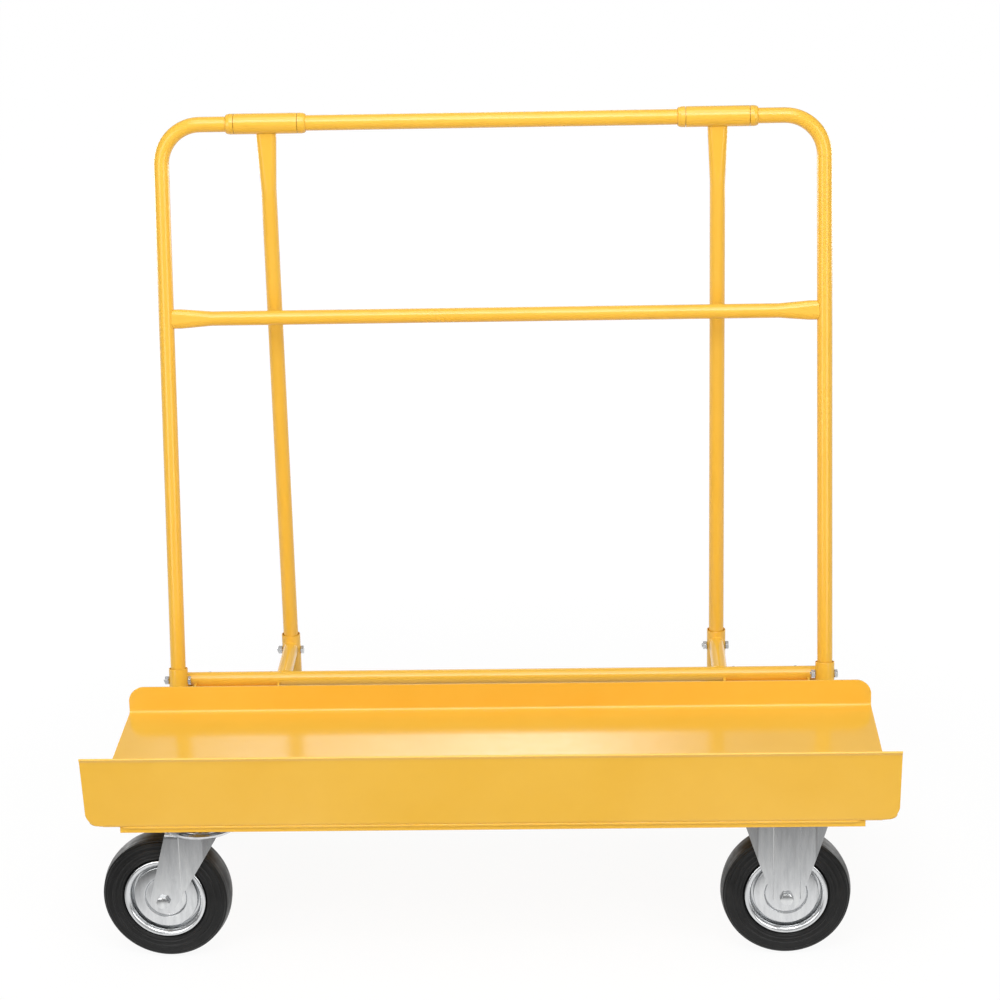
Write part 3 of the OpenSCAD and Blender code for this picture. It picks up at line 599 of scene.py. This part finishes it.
def fork_rows(top):
    """Rows of a pressed strip, from the end of the leg at the front to the middle of the bridge.

    Each row is its y, its z, the outer face's normal in y and z, and its share of the relief.
    """
    rows = []
    for i in range(END_ROWS + 1):
        angle = i / END_ROWS * math.pi / 2
        rows.append((-LEG_OUT, WHEEL_R - FORK_END_R * math.cos(angle), (-1, 0), 1))
    straight = top - FORK_BEND_R - WHEEL_R
    for i in range(1, LEG_ROWS + 1):
        rows.append((-LEG_OUT, WHEEL_R + straight * i / LEG_ROWS, (-1, 0), 1))
    for i in range(1, BEND_ROWS + 1):
        angle = i / BEND_ROWS * math.pi / 2
        y = -LEG_OUT + FORK_BEND_R * (1 - math.cos(angle))
        z = top - FORK_BEND_R + FORK_BEND_R * math.sin(angle)
        rows.append((y, z, (-math.cos(angle), math.sin(angle)), 1 - smooth_step(i / BEND_ROWS)))
    for i in range(1, BRIDGE_ROWS + 1):
        rows.append(((FORK_BEND_R - LEG_OUT) * (1 - i / BRIDGE_ROWS), top, (0, 1), 0))
    return rows


def strip_columns(low, high, creases):
    """Places along X for a strip's columns, close together at its creases."""
    spots = [low + (high - low) * i / COLUMNS for i in range(COLUMNS + 1)]
    for crease in creases:
        spots += [crease + CREASE_STEP * k for k in range(-CREASE_COLUMNS, CREASE_COLUMNS + 1)]
    return sorted(spot for spot in spots if low <= spot <= high)


def pressed_fork(top, axle, back, front, relief, creases):
    """A fork pressed from one strip of sheet; relief is the height of its outer face by place along X."""
    spots = strip_columns(min(back, axle[0] - FORK_END_R), max(front, axle[0] + FORK_END_R), creases)
    half = fork_rows(top)
    rows = half + [(-y, z, (-n[0], n[1]), share) for y, z, n, share in reversed(half[:-1])]
    points = []
    for layer in (0, FORK_T):
        for y, z, normal, share in rows:
            low = edge_at(z, axle, (back, top), 1)
            high = edge_at(z, axle, (front, top), -1)
            for spot in spots:
                x = min(max(spot, low), high)
                rise = relief(x) * share - layer
                points.append((x, y + normal[0] * rise, z + normal[1] * rise))
    wide = len(spots)
    under = len(rows) * wide
    faces = []
    for i in range(len(rows) - 1):
        first, last = i * wide, (i + 1) * wide - 1
        for a in range(first, last):
            faces.append((a, a + 1, a + wide + 1, a + wide))
            faces.append((under + a, under + a + wide, under + a + wide + 1, under + a + 1))
        for a in (first, last):
            faces.append((a, a + wide, under + a + wide, under + a))
    return points, faces


def panel(distance):
    """Height of a raised panel by distance past the middle of its crease."""
    return PANEL_RISE * (1 - smooth_step(distance / PANEL_CREASE_W + 0.5))


def wing(distance):
    """Fall of a wing by distance past its crease, with the crease rounded."""
    if distance < -WING_SOFT:
        return 0
    if distance < WING_SOFT:
        return (distance + WING_SOFT) ** 2 / (4 * WING_SOFT) * WING_SLOPE
    return distance * WING_SLOPE


def rigid_relief(x):
    return panel(abs(x) - RIGID_PANEL) - wing(abs(x) - RIGID_WING)


def swivel_relief(x):
    return panel(x - SWIVEL_PANEL) - wing(x - SWIVEL_WING)


def forks(end):
    at = caster_frame("rigid", end)
    creases = (-RIGID_WING, -RIGID_PANEL, RIGID_PANEL, RIGID_WING)
    rigid = pressed_fork(RIGID_TOP, (0, WHEEL_R), -RIGID_HALF, RIGID_HALF, rigid_relief, creases)
    piece(f"rigid_fork_{end}.form", Shape().add(rigid, at), f"rigid_fork_{end}", sharp=60)
    at = caster_frame("swivel", end)
    creases = (SWIVEL_PANEL, SWIVEL_WING)
    swivel = pressed_fork(SWIVEL_TOP, (-TRAIL, WHEEL_R), SWIVEL_BACK, SWIVEL_FRONT, swivel_relief, creases)
    shape = Shape().add(swivel, at).add(lathe(CROWN, steps=112), at)
    piece(f"swivel_fork_{end}.form", shape, f"swivel_fork_{end}", sharp=60)


def add_casters():
    for end in ("front", "rear"):
        forks(end)
        for kind in ("rigid", "swivel"):
            wheel(kind, end)
        at = caster_frame("swivel", end)
        bolts(f"swivel_axle_bolt_{end}", "+y", M12, AXLE_THREAD, at)
        nuts(f"swivel_axle_nut_{end}", "+y", M12, at)
    bolts("rigid_axle_bolts", "+y", M12, AXLE_THREAD)
    nuts("rigid_axle_nuts", "+y", M12)


# Sockets and welds

LEG_FOOT = Vector((544, 201.86, 280.8))
PROP_FOOT = Vector((370, 375.46, 273.8))
RAIL = Vector((0, 224.19, 250.8))
RAIL_R = 12.7
SOCKET_R = 16
SOCKET_BORE_R = 13
MOUTH_R = 14.8
MOUTH_DEPTH = 12
MOUTH_END = 18
SIDES = (("left", -1), ("right", 1))

# Foot of the tube that a socket holds, its turn about X in degrees and the socket's length
SOCKETS = {"front": (LEG_FOOT, -10, 75), "rear": (PROP_FOOT, 1, 85)}

# Weld under the lip, from left to right, and the y of the rear sockets' axes at the rail's height
SEAM = Vector((-557, -363.7, 249.1))
SEAM_STEP = 4
SEAM_POINTS = 279
REAR_SOCKET_Y = 375.86
# Middle, half width and half height of the weld between a front socket and the rail
BACK_WELD_Y = 212
BACK_WELD_W = 7
BACK_WELD_H = 6.5
# Share by which a bead round a tube swells, and turn of the quick and the slow swell at each point
TUBE_RIPPLE = 0.1
QUICK_TURN = 1.4
SLOW_TURN = 0.37
# Thickness of an open bead's tips, as a share of its full thickness
TIP_SHARE = 0.3


def sockets():
    """Pipes whose mouths are opened out round the tubes they hold."""
    for word, (foot, lean, length) in SOCKETS.items():
        wall = softened([
            (SOCKET_BORE_R, -length), (SOCKET_R, -length), (SOCKET_R, 0, 0.9),
            (MOUTH_R, 0), (MOUTH_R, -MOUTH_DEPTH), (SOCKET_BORE_R, -MOUTH_END)], 0.5)
        for side, sign in SIDES:
            at = Matrix.Translation(Vector((sign * foot.x, foot.y, foot.z)) * MM)
            at = at @ Matrix.Rotation(math.radians(lean), 4, "X")
            node = f"{word}_socket_{side}"
            piece(node + ".form", Shape().add(lathe(wall, steps=72), at), node)


def bead(path, radius, ripple, closed=True):
    """A weld bead along a path, with the ripples that a torch leaves; an open one tapers at its ends."""
    count = 10
    last = len(path) - 1
    # No path here runs in this direction
    aside = Vector((0.3, 0.4, 0.86))
    points = []
    for i, here in enumerate(path):
        before = path[i - 1] if closed or i > 0 else here
        after = path[(i + 1) % len(path)] if closed or i < last else here
        along = (after - before).normalized()
        side = along.cross(aside).normalized()
        rise = along.cross(side)
        swell = radius * (1 + ripple * math.sin(i * QUICK_TURN) + ripple / 2 * math.sin(i * SLOW_TURN))
        if not closed:
            swell *= TIP_SHARE + (1 - TIP_SHARE) * smooth_step(min(i, last - i) / 3)
        for k in range(count):
            angle = 2 * math.pi * k / count
            points.append(here + side * swell * math.cos(angle) + rise * swell * math.sin(angle))
    faces = ring_faces(len(path), count)
    if not closed:
        faces = faces[:-count]
        faces.append(tuple(range(count)))
        faces.append(tuple(range(last * count, (last + 1) * count)))
    return points, faces


def loop(spot, steps=44):
    """A closed path; spot gives a point from the cosine and sine of a step's angle."""
    angles = [2 * math.pi * i / steps for i in range(steps)]
    return [Vector(spot(math.cos(angle), math.sin(angle))) for angle in angles]


def weld(name, beads, node):
    """A piece of weld beads that rides with a node beside it."""
    shape = Shape()
    for form in beads:
        shape.add(form, Matrix())
    piece(name, shape, node, sharp=60, instead=False)


def welds():
    """Painted beads under the lip's bend and where the tubes of the base meet."""
    seam = [Vector((SEAM.x + SEAM_STEP * i, SEAM.y, SEAM.z)) for i in range(SEAM_POINTS)]
    weld("lip_weld", [bead(seam, radius=2.5, ripple=0.02, closed=False)], "front_channel")
    for side, sign in SIDES:
        x = sign * PROP_FOOT.x
        on_rail = loop(lambda c, s: (x + RAIL_R * c, RAIL.y + RAIL_R * abs(c), RAIL.z + RAIL_R * s))
        on_socket = loop(lambda c, s: (
            x + RAIL_R * c,
            REAR_SOCKET_Y - math.sqrt(SOCKET_R ** 2 - (RAIL_R * c) ** 2),
            RAIL.z + RAIL_R * s))
        beads = [
            bead(on_rail, radius=1.8, ripple=TUBE_RIPPLE),
            bead(on_socket, radius=1.3, ripple=TUBE_RIPPLE)]
        weld(f"outrigger_weld_{side}", beads, f"outrigger_{side}")
        x = sign * LEG_FOOT.x
        behind = loop(lambda c, s: (x + BACK_WELD_W * c, BACK_WELD_Y + s, RAIL.z + BACK_WELD_H * s))
        weld(f"front_socket_weld_{side}", [bead(behind, radius=2.2, ripple=TUBE_RIPPLE)], "rear_rail")


# Studio

CAMERA_RAYS = ("Is Camera Ray",)
BACKDROP_RAYS = ("Is Camera Ray", "Is Glossy Ray", "Is Transmission Ray")
WORLD_LIGHT = 0.3
CASTER_X = 0.447
FLOOR_REACH = 14.0
# Share of the floor's look that is its own glow, and not lit cloth with shadows
GLOW_SHARE = 0.93

# Backdrop lamps: left end, right end and glow of each, and where they hang
PATCHES = [(-1.35, 0.6, 0.7), (-1.1, 0.42, 0.9), (-0.6, 0.3, 0.9), (-0.3, 0.16, 1.1)]
PATCH_Y = 4.6
PATCH_GAP = 0.02
PATCH_Z = 2.58
PATCH_H = 0.84

# Camera fitted to the photo: focal length in image widths, angles in degrees and place
FOCAL = 2.9055
PITCH = math.radians(18.499)
YAW = math.radians(-1.882)
ROLL = math.radians(-1.303)
CAMERA_AT = (0.15489, -4.34213, 2.09411)
SENSOR = 36


def rays(tree, kinds):
    """One where a ray is of one of these kinds, and zero elsewhere."""
    path = tree.nodes.new("ShaderNodeLightPath")
    share = path.outputs[kinds[0]]
    for kind in kinds[1:]:
        share = combine(tree, "MAXIMUM", share, path.outputs[kind])
    return share


def link_mix(tree, output, share, first, second):
    """Link an output of that kind to a mix of two shaders; share 0 shows the first and 1 the second."""
    out = tree.nodes.new(output)
    mix = tree.nodes.new("ShaderNodeMixShader")
    tree.links.new(share, mix.inputs["Fac"])
    tree.links.new(first.outputs[0], mix.inputs[1])
    tree.links.new(second.outputs[0], mix.inputs[2])
    tree.links.new(mix.outputs[0], out.inputs["Surface"])


def sweep_glow(tree):
    """Half white behind and in front of the cart, and darker towards its two ends."""
    coord = tree.nodes.new("ShaderNodeTexCoord")
    parts = tree.nodes.new("ShaderNodeSeparateXYZ")
    tree.links.new(coord.outputs["Generated"], parts.inputs[0])
    from_middle = combine(tree, "ABSOLUTE", parts.outputs["X"])
    return remap(tree, from_middle, low=0.5, high=0.2, at_low=0.3, at_high=0.75)


def add_world():
    """Soft light from all round, behind a sweep that is white to the camera and greyer in reflections."""
    world = bpy.data.worlds.new("studio")
    bpy.context.scene.world = world
    world.use_nodes = True
    tree = world.node_tree
    tree.nodes.clear()
    light = tree.nodes.new("ShaderNodeBackground")
    light.inputs["Color"].default_value = WHITE
    light.inputs["Strength"].default_value = WORLD_LIGHT
    seen = tree.nodes.new("ShaderNodeBackground")
    seen.inputs["Color"].default_value = WHITE
    glow = combine(tree, "MAXIMUM", rays(tree, CAMERA_RAYS), sweep_glow(tree))
    tree.links.new(glow, seen.inputs["Strength"])
    link_mix(tree, "ShaderNodeOutputWorld", rays(tree, BACKDROP_RAYS), light, seen)


def caster_reflection_pools(tree, parts):
    """Painted reflection for the forks: one under the cart and ahead of each caster, and less between and
    beyond the casters.
    """
    from_middle = combine(tree, "ABSOLUTE", parts.outputs["X"])
    from_caster = combine(tree, "ABSOLUTE", combine(tree, "ADD", from_middle, -CASTER_X))
    ahead = remap(tree, from_caster, low=1.0, high=0.35, at_low=0.13, at_high=0.28)
    under = remap(tree, parts.outputs["Y"], low=0.0, high=1.0, at_low=-0.45, at_high=-0.38)
    return combine(tree, "MAXIMUM", ahead, under)


def floor_glow(tree):
    """White to the camera and a little brighter far off; in reflections a painted reflection, darker ahead
    of the cart.
    """
    coord = tree.nodes.new("ShaderNodeTexCoord")
    parts = tree.nodes.new("ShaderNodeSeparateXYZ")
    tree.links.new(coord.outputs["Object"], parts.inputs[0])
    # The glow that metal mirrors is painted reflection, patterned by place on the floor
    near = remap(tree, parts.outputs["Y"], low=0.22, high=1.0, at_low=-0.82, at_high=-0.5)
    painted_reflection_glow = combine(tree, "MULTIPLY", near, caster_reflection_pools(tree, parts))
    distance = tree.nodes.new("ShaderNodeVectorMath")
    distance.operation = "LENGTH"
    tree.links.new(coord.outputs["Object"], distance.inputs[0])
    far = remap(tree, distance.outputs["Value"], low=1.0, high=1.05, at_low=0.9, at_high=2.2)
    seen_glow = combine(tree, "MULTIPLY", rays(tree, CAMERA_RAYS), far)
    return combine(tree, "MAXIMUM", seen_glow, painted_reflection_glow)


def floor_material():
    mat = bpy.data.materials.new("floor")
    mat.use_nodes = True
    tree = mat.node_tree
    tree.nodes.clear()
    cloth = tree.nodes.new("ShaderNodeBsdfDiffuse")
    shade = remap(tree, rays(tree, CAMERA_RAYS), low=0.65, high=1.0, at_low=0, at_high=1)
    tree.links.new(shade, cloth.inputs["Color"])
    glow = tree.nodes.new("ShaderNodeEmission")
    glow.inputs["Color"].default_value = WHITE
    tree.links.new(floor_glow(tree), glow.inputs["Strength"])
    share = combine(tree, "MULTIPLY", rays(tree, BACKDROP_RAYS), GLOW_SHARE)
    link_mix(tree, "ShaderNodeOutputMaterial", share, cloth, glow)
    return mat


def add_floor():
    reach = FLOOR_REACH
    corners = [(-reach, -reach, 0), (reach, -reach, 0), (reach, reach, 0), (-reach, reach, 0)]
    mesh = bpy.data.meshes.new("floor")
    mesh.from_pydata(corners, [], [(0, 1, 2, 3)])
    mesh.materials.append(floor_material())
    obj = bpy.data.objects.new("floor", mesh)
    bpy.context.scene.collection.objects.link(obj)


def add_lamp(name, place, target, size, glow):
    """A soft box; glow is how bright its face looks."""
    lamp = bpy.data.lights.new(name, "AREA")
    lamp.shape = "RECTANGLE"
    lamp.size, lamp.size_y = size
    lamp.energy = glow * math.pi * size[0] * size[1]
    obj = bpy.data.objects.new(name, lamp)
    bpy.context.scene.collection.objects.link(obj)
    obj.location = place
    aim = Vector(target) - Vector(place)
    obj.rotation_euler = aim.to_track_quat("-Z", "Y").to_euler()


def add_lamps():
    for side, sign in SIDES:
        add_lamp(side, (sign * 2.7, -3.4, 1.7), target=(0, 0, 0.6), size=(2.0, 3.2), glow=2.4)
    add_lamp("front", (0, -2.8, 3.6), target=(0, 0, 0.4), size=(2.4, 1.6), glow=5.0)
    add_lamp("top", (0, -1.2, 4.0), target=(0, -0.2, 0.3), size=(3.0, 2.4), glow=2.6)
    for side, sign in SIDES:
        add_lamp(f"rear_{side}", (sign * 3.0, 3.0, 0.8), target=(0, 0, 0.6), size=(2.4, 1.2), glow=4.0)
    # The lit patch of the backdrop that the deck mirrors, brightest in its middle
    for i, (low, high, glow) in enumerate(PATCHES):
        middle = (low + high) / 2
        place = (middle, PATCH_Y + i * PATCH_GAP, PATCH_Z)
        add_lamp(f"backdrop_{i}", place, target=(middle, 0, 0.3), size=(high - low, PATCH_H), glow=glow)


def add_camera():
    ahead = Vector((math.sin(YAW) * math.cos(PITCH), math.cos(YAW) * math.cos(PITCH), -math.sin(PITCH)))
    level = Vector((math.cos(YAW), -math.sin(YAW), 0))
    above = level.cross(ahead)
    right = level * math.cos(ROLL) + above * math.sin(ROLL)
    up = above * math.cos(ROLL) - level * math.sin(ROLL)
    lens = bpy.data.cameras.new("camera")
    lens.sensor_width = SENSOR
    lens.lens = SENSOR * FOCAL
    lens.clip_end = 60
    obj = bpy.data.objects.new("camera", lens)
    bpy.context.scene.collection.objects.link(obj)
    turn = Matrix((right, up, -ahead)).transposed().to_4x4()
    obj.matrix_world = Matrix.Translation(CAMERA_AT) @ turn
    bpy.context.scene.camera = obj


dress_nodes()
add_casters()
add_fasteners()
sockets()
welds()
add_world()
add_floor()
add_lamps()
add_camera()
bpy.context.scene.view_settings.view_transform = "Standard"
